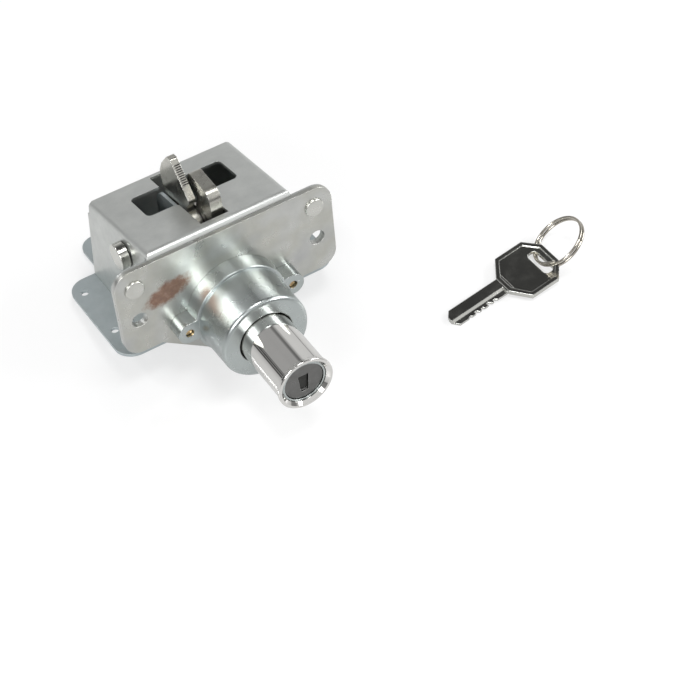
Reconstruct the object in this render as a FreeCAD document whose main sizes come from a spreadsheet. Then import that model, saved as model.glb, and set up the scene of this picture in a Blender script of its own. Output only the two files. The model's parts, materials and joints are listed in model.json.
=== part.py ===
import FreeCAD, Part
import math
import os
import re
import Sketcher
from FreeCAD import Placement, Rotation, Vector

# Trunk lock. Millimetres. While the pieces are made, X runs along the front plate, Y from the plate's
# front face back into the case, Z up the plate, and the push button's axis is the Y axis.
# At the end the lock is laid on a table as it rests there, nose up, with the table at Z = 0.

# Driving sizes
SIZES = (
    # front plate and its ears
    ("plate_half_width", 53.3),
    ("plate_top", 40.4),
    ("ear_drop", 6.5),
    ("plate_thick", 2.0),
    ("ear_round", 8.5),
    ("lobe_half_width", 36.0),
    ("lobe_radius", 26.5),
    ("hole_inset", 9.0),
    ("hole_height", 12.2),
    ("hole_radius", 3.8),
    ("rivet_height", 30.2),
    # case of bent sheet
    ("sheet", 1.5),
    ("cover_half_width", 35.0),
    ("wall_foot_half_width", 39.0),
    ("cover_height", 43.0),
    ("cover_fall", 0.205),
    ("case_rear", 62.0),
    ("front_bend", 3.2),
    ("cover_bend", 2.6),
    ("fold_gap", 1.6),
    ("slot_left", 6.3),
    ("slot_right", 7.2),
    ("slot_front", 7.7),
    ("slot_rear", 58.5),
    ("pocket_left", 21.0),
    ("pocket_right", 24.0),
    ("pocket_front", 29.5),
    ("pocket_rear", 48.7),
    ("pocket_round", 2.6),
    ("relief", 2.2),
    # base plate
    ("base_half_width", 54.4),
    ("base_drop", 8.5),
    ("base_fall", 0.05),
    ("base_front", 2.2),
    ("flange_rear", 62.0),
    ("flange_round", 9.0),
    ("tongue_half_width", 36.7),
    ("tongue_rear", 86.5),
    ("tongue_round", 8.0),
    ("base_hole_inset", 5.4),
    ("base_hole_front", 22.0),
    ("base_hole_rear", 52.5),
    ("base_hole_radius", 1.8),
    ("seat_gap", 0.02),
    ("foot_width", 9.0),
    ("base_rivet_front", 15.0),
    ("base_rivet_rear", 50.0),
    # rivets
    ("ear_rivet_head", 4.6),
    ("ear_rivet_shank", 2.5),
    ("head_rise", 1.1),
    ("small_head", 3.0),
    ("small_shank", 1.6),
    ("fit", 0.06),
    # pivot pin and what it carries
    ("pivot_depth", 24.5),
    ("pivot_height", 28.0),
    ("pin_radius", 4.0),
    ("pin_head_radius", 6.2),
    ("pin_head_length", 4.2),
    ("pin_tail", 1.8),
    ("clip_radius", 5.2),
    ("clip_thick", 0.8),
    ("groove_depth", 0.7),
    ("sleeve_wall", 1.8),
    ("claw_boss", 8.0),
    ("rear_claw_thick", 3.5),
    ("claw_gap", 1.5),
    ("front_claw_near", 0.0),
    ("front_claw_thick", 5.7),
    ("washer_gap", 0.1),
    # front claw's outline, from the pivot
    ("front_heel", 7.2),
    ("front_heel_drop", 3.4),
    ("front_back", 14.8),
    ("front_back_rise", 8.0),
    ("front_top_rise", 24.7),
    ("front_brow", 3.8),
    ("front_brow_rise", 25.3),
    ("front_tip", 5.0),
    ("front_tip_rise", 19.5),
    ("front_throat", 2.0),
    ("front_throat_rise", 16.0),
    ("front_neck", 1.5),
    ("front_neck_rise", 5.4),
    ("front_hip", 5.4),
    ("front_hip_drop", 5.6),
    ("front_waist", 4.2),
    ("front_waist_drop", 6.5),
    ("tail_back", 1.5),
    ("tail_front", 3.5),
    ("crown_round", 5.5),
    ("claw_round", 2.5),
    ("tip_round", 1.2),
    ("tail_round", 1.0),
    # rear claw's outline, from the pivot
    ("rear_heel", 4.5),
    ("rear_heel_drop", 6.4),
    ("rear_neck", 0.5),
    ("rear_neck_rise", 10.5),
    ("ramp_foot", 4.5),
    ("ramp_foot_rise", 15.5),
    ("ramp_top", 9.3),
    ("ramp_top_rise", 30.6),
    ("rear_tip", 12.6),
    ("rear_tip_rise", 30.3),
    ("rear_tip_round", 2.0),
    ("rear_shoulder", 19.7),
    ("rear_shoulder_rise", 21.8),
    ("rear_back", 23.1),
    ("rear_back_rise", 15.1),
    ("rear_hip", 21.8),
    ("rear_hip_rise", 6.0),
    ("hip_round", 4.5),
    ("prong_front", 2.0),
    ("prong_back", 7.0),
    ("prong_root_drop", 3.5),
    ("prong_drop", 10.5),
    # claw drive
    ("push_gap", 0.5),
    ("tail_gap", 3.2),
    ("nose_gap", 0.4),
    ("tail_reach", 29.0),
    ("button_travel", 6.0),
    ("lever_depth", 37.0),
    ("lever_height", 11.5),
    ("lever_hub", 4.0),
    ("lever_pin_radius", 2.0),
    ("lever_arm", 4.0),
    ("lever_foot", 13.5),
    ("nose_rise", 8.0),
    ("nose_radius", 2.0),
    ("lever_step", 1.0),
    # bracket
    ("cheek_left", 7.0),
    ("cheek_right", 13.5),
    ("bracket_front", 12.0),
    ("bracket_rear", 52.0),
    ("bracket_gap", 1.0),
    ("bracket_sill", 6.0),
    # slide
    ("slide_tab_front", 6.3),
    ("slide_floor", 5.0),
    ("slide_half_width", 5.2),
    ("slide_guide", 6.0),
    # wires
    ("claw_wire", 0.9),
    ("claw_spring_turns", 2.75),
    ("spring_leg", 10.0),
    ("wire_gap", 0.42),
    ("return_wire", 1.2),
    ("return_turns", 3.0),
    ("return_radius", 8.6),
    # die-cast housing
    ("flange_radius", 23.0),
    ("flange_depth", 8.3),
    ("housing_radius", 21.3),
    ("housing_front", 29.8),
    ("housing_edge", 2.0),
    ("collar_length", 6.0),
    ("cavity_radius", 15.5),
    ("housing_floor", 2.0),
    ("mouth_chamfer", 0.8),
    ("lug_reach", 26.0),
    ("lug_radius", 5.4),
    ("screw_radius", 2.0),
    ("screw_head", 3.6),
    ("screw_recess", 1.4),
    # push button
    ("button_radius", 12.5),
    ("button_front", 63.0),
    ("button_rear", 13.0),
    ("button_wall", 2.0),
    ("lip_rise", 0.7),
    ("lip_length", 1.6),
    ("lip_chamfer", 1.3),
    ("snap_ring_thick", 1.2),
    ("rod_radius", 3.0),
    ("rod_head_radius", 8.0),
    ("rod_head_thick", 2.0),
    # lock cylinder and plug
    ("cylinder_front", 61.4),
    ("cylinder_rear", 33.0),
    ("face_radius", 9.4),
    ("face_depth", 60.9),
    ("face_thick", 2.0),
    ("plug_radius", 6.5),
    ("plug_rear", 31.0),
    ("keyway_width", 2.9),
    ("keyway_height", 9.2),
    ("keyway_mouth", 5.2),
    ("keyway_foot", 3.6),
    ("face_skin", 0.7),
    ("pocket_play", 1.0),
    ("pocket_web", 0.6),
    ("wafer_thick", 1.2),
    ("wafer_pitch", 3.6),
    ("wafer_half_width", 2.7),
    ("shutter_thick", 0.6),
    ("shutter_pin_radius", 0.4),
    ("knuckle_wall", 0.25),
    ("cam_radius", 8.4),
    ("cam_thick", 1.6),
    # key and split ring
    ("key_thick", 2.6),
    ("bow_length", 29.0),
    ("bow_half_width", 13.4),
    ("bow_neck", 4.6),
    ("bow_shoulder", 6.8),
    ("bow_corner", 6.5),
    ("bow_end", 6.2),
    ("border_width", 1.9),
    ("field_depth", 0.45),
    ("bow_bar", 4.4),
    ("slot_width", 5.4),
    ("slot_foot", 8.0),
    ("slot_head", 6.0),
    ("blade_length", 31.0),
    ("blade_half_width", 4.3),
    ("blade_thick", 2.2),
    ("tip_top", 2.8),
    ("tip_foot", 3.2),
    ("tip_slope", 2.5),
    ("cut_flat", 0.5),
    ("cut_least", 0.3),
    ("cut_step", 0.25),
    ("mill_depth", 1.0),
    ("mill_slope", 1.1),
    ("mill_edge", 0.9),
    ("key_across", 117.2),
    ("key_ahead", 41.6),
    ("key_turn", 6.0),
    ("key_pitch", 3.3),
    ("ring_radius", 13.0),
    ("ring_wire", 1.3),
    ("ring_beyond", 11.950095),
    ("ring_aside", 1.308838),
    ("ring_rise", 5.277543),
    ("ring_tilt", 42.0),
    ("ring_heading", 141.0),
)

doc = FreeCAD.newDocument("trunk_lock")
sheet = doc.addObject("Spreadsheet::Sheet", "sizes")
for row, (alias, number) in enumerate(SIZES, 1):
    sheet.set(f"A{row}", alias)
    sheet.set(f"B{row}", str(number))
    sheet.setAlias(f"B{row}", alias)
doc.recompute()
ALIASES = {alias for alias, number in SIZES}


def size(alias):
    """A driving size as a number."""
    return float(sheet.get(alias))


def formula(text):
    """A formula in the sheet's words, written for an expression."""
    def in_sheet(match):
        word = match.group()
        return "sizes." + word if word in ALIASES else word
    return re.sub(r"[a-z_]+", in_sheet, str(text))


def bind(target, path, text):
    target.setExpression(path, formula(text))


# Sketches, plates and turned pieces
def origin_plane(body, role):
    return next(item for item in body.Origin.OriginFeatures if item.Role == role)


def new_sketch(body, role, offset="0"):
    sketch = body.newObject("Sketcher::SketchObject", "outline")
    sketch.AttachmentSupport = (origin_plane(body, role), [""])
    sketch.MapMode = "FlatFace"
    bind(sketch, "AttachmentOffset.Base.z", offset)
    return sketch


def pin_point(sketch, geometry, point, across, up):
    """Hold one point of the sketch at its two coordinates."""
    for kind, text in (("DistanceX", across), ("DistanceY", up)):
        held = sketch.getPoint(geometry, point)
        now = held.x if kind == "DistanceX" else held.y
        number = sketch.addConstraint(Sketcher.Constraint(kind, geometry, point, now))
        bind(sketch, f"Constraints[{number}]", text)


def draw_outline(sketch, corners):
    """A closed outline of straight edges through the corners, each held by its coordinates."""
    count = len(corners)
    guess = [Vector(9 * math.cos(2 * math.pi * i / count), 9 * math.sin(2 * math.pi * i / count), 0)
             for i in range(count)]
    first = len(sketch.Geometry)
    for i in range(count):
        sketch.addGeometry(Part.LineSegment(guess[i], guess[(i + 1) % count]), False)
    for i in range(count):
        following = first + (i + 1) % count
        sketch.addConstraint(Sketcher.Constraint("Coincident", first + i, 2, following, 1))
    for i, corner in enumerate(corners):
        pin_point(sketch, first + i, 1, corner[0], corner[1])


def draw_holes(sketch, holes):
    for across, up, radius in holes:
        number = sketch.addGeometry(Part.Circle(Vector(1, 1, 0), Vector(0, 0, 1), 1), False)
        pin_point(sketch, number, 3, across, up)
        round_size = sketch.addConstraint(Sketcher.Constraint("Radius", number, 1.0))
        bind(sketch, f"Constraints[{round_size}]", radius)


def fillet(body, feature, edges, radius):
    rounded = body.newObject("PartDesign::Fillet", "rounding")
    rounded.Base = (feature, edges)
    bind(rounded, "Radius", radius)
    doc.recompute()
    return rounded


def plate(name, role, low, high, corners, holes=()):
    """A flat piece: an outline in one origin plane, thick from low to high along the plane's axis.
    A corner is (across, up) or (across, up, rounding)."""
    body = doc.addObject("PartDesign::Body", name)
    along_axis = role != "XZ_Plane"
    sketch = new_sketch(body, role, low if along_axis else f"-({high})")
    draw_outline(sketch, corners)
    draw_holes(sketch, holes)
    pad = body.newObject("PartDesign::Pad", "pad")
    pad.Profile = sketch
    bind(pad, "Length", f"({high})-({low})")
    doc.recompute()
    sketch.Visibility = False
    normal = sketch.Placement.Rotation.multVec(Vector(0, 0, 1))
    spots = [sketch.Placement.multVec(sketch.getPoint(i, 1)) for i in range(len(corners))]
    feature = pad
    for radius in dict.fromkeys(corner[2] for corner in corners if len(corner) > 2):
        wanted = [spot for spot, corner in zip(spots, corners) if len(corner) > 2 and corner[2] == radius]
        edges = [f"Edge{i}" for i, edge in enumerate(feature.Shape.Edges, 1)
                 if runs_through(edge, normal, wanted)]
        feature = fillet(body, feature, edges, radius)
    return body


def runs_through(edge, direction, spots):
    """True for a straight edge along the direction whose line goes through one of the spots."""
    if not isinstance(edge.Curve, Part.Line):
        return False
    start, end = (vertex.Point for vertex in edge.Vertexes)
    if (end - start).cross(direction).Length > 1e-6 * (end - start).Length:
        return False
    return any((spot - start).cross(direction).Length < 1e-5 for spot in spots)


def turned(name, corners, role="YZ_Plane"):
    """A turned piece: a half section (along, radius[, rounding]) spun about the sketch's first axis."""
    body = doc.addObject("PartDesign::Body", name)
    sketch = new_sketch(body, role)
    draw_outline(sketch, corners)
    spin = body.newObject("PartDesign::Revolution", "spin")
    spin.Profile = sketch
    spin.ReferenceAxis = (sketch, ["H_Axis"])
    spin.Angle = 360
    doc.recompute()
    spots = [sketch.getPoint(i, 1) for i in range(len(corners))]
    feature = spin
    for radius in dict.fromkeys(corner[2] for corner in corners if len(corner) > 2):
        wanted = [spot for spot, corner in zip(spots, corners) if len(corner) > 2 and corner[2] == radius]
        edges = [f"Edge{i}" for i, edge in enumerate(feature.Shape.Edges, 1)
                 if is_rim(edge, sketch.Placement, wanted)]
        feature = fillet(body, feature, edges, radius)
    return body


def is_rim(edge, place, spots):
    """True for a full circle about the spin axis that goes through one of the section's corners."""
    if not isinstance(edge.Curve, Part.Circle):
        return False
    centre = place.inverse().multVec(edge.Curve.Center)
    return any(abs(centre.x - spot.x) < 1e-5 and abs(edge.Curve.Radius - spot.y) < 1e-5 for spot in spots)


# Primitives and booleans
TURN = {"X": Rotation(Vector(0, 1, 0), 90), "Y": Rotation(Vector(1, 0, 0), -90), "Z": Rotation()}


def block(x_span, y_span, z_span):
    box = doc.addObject("Part::Box", "block")
    for side, axis, span in (("Length", "x", x_span), ("Width", "y", y_span), ("Height", "z", z_span)):
        bind(box, side, f"({span[1]})-({span[0]})")
        bind(box, f"Placement.Base.{axis}", span[0])
    return box


def rod(axis, radius, low, high, centre):
    """A cylinder along an axis from low to high; centre holds its other two coordinates in order."""
    cylinder = doc.addObject("Part::Cylinder", "rod")
    cylinder.Placement = Placement(Vector(), TURN[axis])
    bind(cylinder, "Radius", radius)
    bind(cylinder, "Height", f"({high})-({low})")
    others = [letter for letter in "XYZ" if letter != axis]
    bind(cylinder, f"Placement.Base.{axis.lower()}", low)
    for letter, text in zip(others, centre):
        bind(cylinder, f"Placement.Base.{letter.lower()}", text)
    return cylinder


def cut(base, *tools):
    result = doc.addObject("Part::Cut", "cut")
    result.Base = base
    result.Tool = tools[0] if len(tools) == 1 else fuse(*tools)
    return result


def fuse(*pieces):
    result = doc.addObject("Part::MultiFuse", "joined")
    result.Shapes = list(pieces)
    result.Refine = True
    return result


def common(first, second):
    result = doc.addObject("Part::Common", "common")
    result.Base = first
    result.Tool = second
    return result


def group(*pieces):
    """Separate solids kept under one name."""
    result = doc.addObject("Part::Compound", "group")
    result.Links = list(pieces)
    return result


def moved(piece, x="0", y="0", z="0", turn=None):
    """Place one operand by formulas."""
    if turn:
        piece.Placement = Placement(Vector(), turn)
    bind(piece, "Placement.Base.x", x)
    bind(piece, "Placement.Base.y", y)
    bind(piece, "Placement.Base.z", z)
    return piece


NODES = {}


def node(name, piece, body="lock", place=Placement()):
    """Name a finished sub-part; body says whether it lies with the lock, the key or the ring."""
    piece.Label = name
    NODES[name] = (piece, body, place)


def cover_line(depth, inset="0"):
    """Height of the cover's outer face at a depth, less an inset measured square to the cover."""
    return f"cover_height-({depth}-plate_thick)*cover_fall-({inset})*sqrt(1+cover_fall^2)"


def base_line(depth):
    """Height of the base plate's upper face at a depth."""
    return f"-base_drop-({depth}-plate_thick)*base_fall"


fold_back = "plate_thick+sheet"
hole_reach = "(plate_half_width-hole_inset)"
BELOW = "30"


# Case: cover, walls, rear wall and front fold are one bent sheet
def case_solid(inset, bend_front, bend_cover, foot):
    """The case's outside as a solid, or its inside when inset by the sheet."""
    front = f"plate_thick+({inset})"
    rear = f"case_rear-({inset})"
    side = plate("case_side", "YZ_Plane", "-wall_foot_half_width-sheet", "wall_foot_half_width+sheet", (
        (front, foot[0]), (rear, foot[1]),
        (rear, cover_line(rear, inset)), (front, cover_line(front, inset))))
    flare = "(wall_foot_half_width-cover_half_width)/(cover_height+base_drop)"
    slant = f"({inset})*sqrt(1+({flare})^2)"
    top_half = f"cover_half_width-{slant}"
    foot_half = f"wall_foot_half_width+({flare})*{BELOW}-{slant}"
    front_view = plate("case_front", "XZ_Plane", front, rear, (
        (f"-({foot_half})", f"-base_drop-{BELOW}"), (foot_half, f"-base_drop-{BELOW}"),
        (top_half, "cover_height"), (f"-({top_half})", "cover_height")))
    solid = common(side, front_view)
    doc.recompute()
    rounded = doc.addObject("Part::Fillet", "bends")
    rounded.Base = solid
    chosen = []
    for i, edge in enumerate(solid.Shape.Edges, 1):
        middle = edge.CenterOfMass
        top = cover_at(middle.y, inset)
        if abs(middle.z - top) < 0.01 and min(vertex.Point.z for vertex in edge.Vertexes) > 0:
            at_front = abs(middle.y - size("plate_thick") - inset_size(inset)) < 0.01
            radius = bend_front if at_front else bend_cover
            chosen.append((i, radius, radius))
    rounded.Edges = chosen
    return rounded


def inset_size(inset):
    return 0.0 if inset == "0" else size(inset)


def cover_at(depth, inset):
    fall = size("cover_fall")
    drop = (depth - size("plate_thick")) * fall
    return size("cover_height") - drop - inset_size(inset) * math.sqrt(1 + fall ** 2)


def on_base(depth):
    return f"{base_line(depth)}+seat_gap"


outside = case_solid("0", size("front_bend"), size("cover_bend"),
                     (on_base("plate_thick"), on_base("case_rear")))
inside = case_solid("sheet", size("front_bend") - size("sheet"), size("cover_bend") - size("sheet"),
                    (f"-base_drop-{BELOW}", f"-base_drop-{BELOW}"))
ear_sheet = plate("ear_sheet", "XZ_Plane", "plate_thick", fold_back, (
    ("-plate_half_width", "-ear_drop", "ear_round"), ("plate_half_width", "-ear_drop", "ear_round"),
    ("plate_half_width", "plate_top-0.6", "ear_round"), ("-plate_half_width", "plate_top-0.6", "ear_round")))
feet = []
for sign in ("-", ""):
    outer = f"{sign}(wall_foot_half_width-sheet)"
    inner = f"{sign}(wall_foot_half_width-foot_width)"
    low, high = (outer, inner) if sign else (inner, outer)
    feet.append(plate("foot", "YZ_Plane", low, high, (
        ("bracket_front-2", on_base("bracket_front-2")), ("case_rear-4", on_base("case_rear-4")),
        ("case_rear-4", f"{on_base('case_rear-4')}+sheet"),
        ("bracket_front-2", f"{on_base('bracket_front-2')}+sheet"))))
shell = fuse(cut(outside, inside), ear_sheet, *feet)
slot = plate("slot", "XY_Plane", "pivot_height", "cover_height+sheet", (
    ("-slot_left", "slot_front"), ("slot_right", "slot_front"),
    ("slot_right", "pocket_front", "relief"),
    ("pocket_right", "pocket_front", "pocket_round"), ("pocket_right", "pocket_rear", "pocket_round"),
    ("slot_right", "pocket_rear"), ("slot_right", "slot_rear"), ("-slot_left", "slot_rear"),
    ("-slot_left", "pocket_rear"), ("-pocket_left", "pocket_rear", "pocket_round"),
    ("-pocket_left", "pocket_front", "pocket_round"), ("-slot_left", "pocket_front", "relief")))
case_cuts = [slot]
for sign in ("-1", "1"):
    wide = "wall_foot_half_width+sheet"
    near = "cover_half_width-sheet-0.6"
    low, high = (f"-({wide})", f"-({near})") if sign == "-1" else (near, wide)
    case_cuts.append(block((low, high), (fold_back, f"{fold_back}+fold_gap"),
                           (f"-base_drop-{BELOW}", "cover_height-front_bend")))
    case_cuts.append(rod("Z", "relief", f"{cover_line('case_rear')}-3*relief", "cover_height",
                         (f"{sign}*(cover_half_width+0.4)", "case_rear+0.4")))
    case_cuts.append(rod("Y", "hole_radius", "0", f"fold_gap+{fold_back}",
                         (f"{sign}*{hole_reach}", "hole_height")))
    case_cuts.append(rod("Y", "ear_rivet_shank+fit", "0", f"fold_gap+{fold_back}",
                         (f"{sign}*{hole_reach}", "rivet_height")))
    case_cuts.append(rod("Y", "screw_radius+fit", "0", f"fold_gap+{fold_back}", (f"{sign}*lug_reach", "0")))
    for depth in ("base_rivet_front", "base_rivet_rear"):
        case_cuts.append(rod("Z", "small_shank+2*fit", f"-base_drop-{BELOW}", "0",
                             (f"{sign}*(wall_foot_half_width-foot_width/2-sheet/2)", depth)))
case_cuts.append(rod("Y", "rod_radius+1", "0", f"fold_gap+{fold_back}", ("0", "0")))
case_cuts.append(rod("X", "pin_radius+fit", "-2*cover_half_width", "2*cover_half_width",
                     ("pivot_depth", "pivot_height")))
node("case", cut(shell, *case_cuts))

# Front plate: flat, with ears, and a lobe below that follows the round housing
lobe = doc.addObject("PartDesign::Body", "lobe")
lobe_sketch = new_sketch(lobe, "XZ_Plane", "-plate_thick")
reach, drop, radius = size("lobe_half_width"), size("ear_drop"), size("lobe_radius")
far = math.hypot(reach, drop)
tangent = math.sqrt(far ** 2 - radius ** 2)
touch_x = (radius ** 2 * reach - radius * tangent * drop) / far ** 2
touch_z = -(radius ** 2 * drop + radius * tangent * reach) / far ** 2
shoulder = Vector(reach, -drop, 0)
touch = Vector(touch_x, touch_z, 0)
mirror_touch = Vector(-touch_x, touch_z, 0)
mirror_shoulder = Vector(-reach, -drop, 0)
lobe_sketch.addGeometry(Part.LineSegment(mirror_shoulder, mirror_touch), False)
lobe_sketch.addGeometry(Part.Arc(mirror_touch, Vector(0, -radius, 0), touch), False)
lobe_sketch.addGeometry(Part.LineSegment(touch, shoulder), False)
lobe_sketch.addGeometry(Part.LineSegment(shoulder, mirror_shoulder), False)
lobe_sketch.addConstraint(Sketcher.Constraint("Tangent", 0, 2, 1, 1))
lobe_sketch.addConstraint(Sketcher.Constraint("Tangent", 1, 2, 2, 1))
lobe_sketch.addConstraint(Sketcher.Constraint("Coincident", 2, 2, 3, 1))
lobe_sketch.addConstraint(Sketcher.Constraint("Coincident", 3, 2, 0, 1))
lobe_sketch.addConstraint(Sketcher.Constraint("Coincident", 1, 3, -1, 1))
arc_size = lobe_sketch.addConstraint(Sketcher.Constraint("Radius", 1, radius))
bind(lobe_sketch, f"Constraints[{arc_size}]", "lobe_radius")
pin_point(lobe_sketch, 0, 1, "-lobe_half_width", "-ear_drop")
pin_point(lobe_sketch, 2, 2, "lobe_half_width", "-ear_drop")
lobe_pad = lobe.newObject("PartDesign::Pad", "pad")
lobe_pad.Profile = lobe_sketch
bind(lobe_pad, "Length", "plate_thick")
ears = plate("ears", "XZ_Plane", "0", "plate_thick", (
    ("-plate_half_width", "-ear_drop", "ear_round"), ("plate_half_width", "-ear_drop", "ear_round"),
    ("plate_half_width", "plate_top", "ear_round"), ("-plate_half_width", "plate_top", "ear_round")))
plate_cuts = [rod("Y", "rod_radius+1", "-1", "plate_thick+1", ("0", "0"))]
for sign in ("-", ""):
    across = f"{sign}{hole_reach}"
    plate_cuts.append(rod("Y", "hole_radius", "-1", "plate_thick+1", (across, "hole_height")))
    plate_cuts.append(rod("Y", "ear_rivet_shank+fit", "-1", "plate_thick+1", (across, "rivet_height")))
    plate_cuts.append(rod("Y", "screw_radius+fit", "-1", "plate_thick+1", (f"{sign}lug_reach", "0")))
node("front_plate", cut(fuse(ears, lobe), *plate_cuts))

# Ear rivets: a low head in front and a flat one behind, through both sheets of an ear
def rivet(head, shank, front, back, rise, axis="YZ_Plane"):
    """Two-headed rivet along the sketch's first axis between the faces front and back."""
    return turned("rivet", (
        (f"{front}-{rise}", "0"), (f"{front}-{rise}", f"{head}-0.2", "head_rise*0.5"), (front, head),
        (front, shank), (back, shank), (back, head), (f"{back}+{rise}", f"{head}-0.2", "head_rise*0.5"),
        (f"{back}+{rise}", "0")), axis)


node("ear_rivets", group(*[
    moved(rivet("ear_rivet_head", "ear_rivet_shank", "0", fold_back, "head_rise"),
          x=f"{sign}{hole_reach}", z="rivet_height") for sign in ("-", "")]))

# Base plate: flat sheet under the case, low at the rear, with side flanges and a rear tongue
FALL = Rotation(Vector(1, 0, 0), -math.degrees(math.atan(size("base_fall"))))
stretch = "sqrt(1+base_fall^2)"


def along_base(depth):
    """Distance along the base plate from its origin, under the plate's back face, to a depth."""
    return f"({depth}-plate_thick)*{stretch}"


rivet_reach = "wall_foot_half_width-foot_width/2-sheet/2"
base_holes = []
for sign in ("-", ""):
    for depth in ("base_hole_front", "base_hole_rear"):
        base_holes.append((f"{sign}(base_half_width-base_hole_inset)", along_base(depth), "base_hole_radius"))
    for depth in ("base_rivet_front", "base_rivet_rear"):
        base_holes.append((f"{sign}({rivet_reach})", along_base(depth), "small_shank+fit"))
for depth in ("bracket_front+6", "bracket_rear-6"):
    base_holes.append(("(cheek_right-cheek_left)/2", along_base(depth), "small_shank+fit"))
base = plate("base_sheet", "XY_Plane", "-sheet", "0", (
    ("-base_half_width", along_base("base_front"), "flange_round"),
    ("base_half_width", along_base("base_front"), "flange_round"),
    ("base_half_width", along_base("flange_rear"), "flange_round"),
    ("tongue_half_width", along_base("flange_rear"), "relief"),
    ("tongue_half_width", along_base("tongue_rear"), "tongue_round"),
    ("-tongue_half_width", along_base("tongue_rear"), "tongue_round"),
    ("-tongue_half_width", along_base("flange_rear"), "relief"),
    ("-base_half_width", along_base("flange_rear"), "flange_round")), base_holes)
node("base_plate", group(moved(base, y="plate_thick", z="-base_drop", turn=FALL)))


def base_rivet(across, depth):
    """Rivet square to the base plate, through it and the sheet that lies on it."""
    one = rivet("small_head", "small_shank", "-sheet", "sheet+seat_gap*2", "head_rise", "XY_Plane")
    upright = FALL.multiply(Rotation(Vector(0, 1, 0), -90))
    return moved(one, x=across, y=depth, z=base_line(depth), turn=upright)


node("base_rivets", group(*[base_rivet(f"{sign}({rivet_reach})", depth)
                            for sign in ("-", "") for depth in ("base_rivet_front", "base_rivet_rear")]))
node("bracket_rivets", group(*[base_rivet("(cheek_right-cheek_left)/2", depth)
                               for depth in ("bracket_front+6", "bracket_rear-6")]))

# Claw bracket: a U of sheet on the base plate; its cheeks carry the pivot pin beside the claws
bracket_outer = plate("bracket_outer", "YZ_Plane", "-cheek_left", "cheek_right", (
    ("bracket_front", on_base("bracket_front")), ("bracket_rear", on_base("bracket_rear")),
    ("bracket_rear", cover_line("bracket_rear", "sheet+bracket_gap"), "ear_round"),
    ("bracket_front+2", cover_line("bracket_front+2", "sheet+bracket_gap"), "ear_round"),
    ("bracket_front", "bracket_sill")))
bracket_inner = plate("bracket_inner", "YZ_Plane", "-cheek_left+sheet", "cheek_right-sheet", (
    ("0", f"{on_base('0')}+sheet"), ("case_rear", f"{on_base('case_rear')}+sheet"),
    ("case_rear", "cover_height"), ("0", "cover_height")))
guide_slot = block(("-cheek_left-1", "cheek_right+1"),
                   ("bracket_front+2-push_gap", "bracket_front+2+slide_guide+button_travel+push_gap"),
                   ("-slide_floor-0.3", "-slide_floor+sheet+0.3"))
bracket_bore = rod("X", "pin_radius+fit", "-cheek_left-1", "cheek_right+1", ("pivot_depth", "pivot_height"))
bracket_holes = [moved(rod("Z", "small_shank+fit", "-sheet", "2*sheet", ("0", "0")),
                       x="(cheek_right-cheek_left)/2", y=depth, z=base_line(depth), turn=FALL)
                 for depth in ("bracket_front+6", "bracket_rear-6")]
lever_bore = rod("X", "lever_pin_radius+fit", "-cheek_left-1", "cheek_right+1",
                 ("lever_depth", "lever_height"))
node("claw_bracket", cut(bracket_outer, bracket_inner, guide_slot, bracket_bore, lever_bore, *bracket_holes))

# Pivot pin, its clip, and the tubes that keep the bracket in the middle of the case
wall_slope = "(wall_foot_half_width-cover_half_width)/(cover_height+base_drop)"
wall_at_pin = f"cover_half_width+({wall_slope})*(cover_height-pivot_height)"
wall_lean = f"({wall_slope})*pin_head_radius"
clip_start = f"{wall_at_pin}+{wall_lean}+0.1"
pin = turned("pivot_pin", (
    (f"-({wall_at_pin})-{wall_lean}-pin_head_length", "0"),
    (f"-({wall_at_pin})-{wall_lean}-pin_head_length", "pin_head_radius", "0.5"),
    (f"-({wall_at_pin})-{wall_lean}", "pin_head_radius"),
    (f"-({wall_at_pin})-{wall_lean}", "pin_radius"),
    (clip_start, "pin_radius"), (clip_start, "pin_radius-groove_depth"),
    (f"{clip_start}+clip_thick+fit", "pin_radius-groove_depth"),
    (f"{clip_start}+clip_thick+fit", "pin_radius"),
    (f"{clip_start}+pin_tail", "pin_radius", "0.5"), (f"{clip_start}+pin_tail", "0")), "XY_Plane")
node("pivot_pin", group(moved(pin, y="pivot_depth", z="pivot_height")))
clip_ring = turned("clip", (
    (f"{clip_start}+fit/2", "pin_radius-groove_depth+fit"), (f"{clip_start}+fit/2", "clip_radius"),
    (f"{clip_start}+fit/2+clip_thick", "clip_radius"),
    (f"{clip_start}+fit/2+clip_thick", "pin_radius-groove_depth+fit")), "XY_Plane")
clip_mouth = block((clip_start, f"{clip_start}+2*clip_thick"), ("-pin_radius*0.6", "pin_radius*0.6"),
                   ("-2*clip_radius", "0"))
node("pin_clip", group(moved(cut(clip_ring, clip_mouth), y="pivot_depth", z="pivot_height")))


def sleeve(low, high, bore, wall):
    return turned("sleeve", ((low, bore), (low, f"{bore}+{wall}"), (high, f"{bore}+{wall}"), (high, bore)),
                  "XY_Plane")


inner_wall = f"{wall_at_pin}-sheet-0.9"
spring_room = "(claw_spring_turns*(claw_wire+wire_gap)+claw_wire+2*wire_gap)"
node("pin_spacers", group(*[
    moved(sleeve(low, high, "pin_radius+fit", "sleeve_wall"), y="pivot_depth", z="pivot_height")
    for low, high in ((f"-({inner_wall})", f"-cheek_left-{spring_room}"),
                      ("cheek_right+washer_gap", inner_wall))]))
rear_claw_near = "front_claw_near-claw_gap"
rear_claw_face = "front_claw_near-claw_gap-rear_claw_thick"
node("claw_washer", group(moved(
    sleeve("front_claw_near-claw_gap+washer_gap", "front_claw_near-washer_gap", "pin_radius+fit",
           "sleeve_wall"),
    y="pivot_depth", z="pivot_height")))


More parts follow.
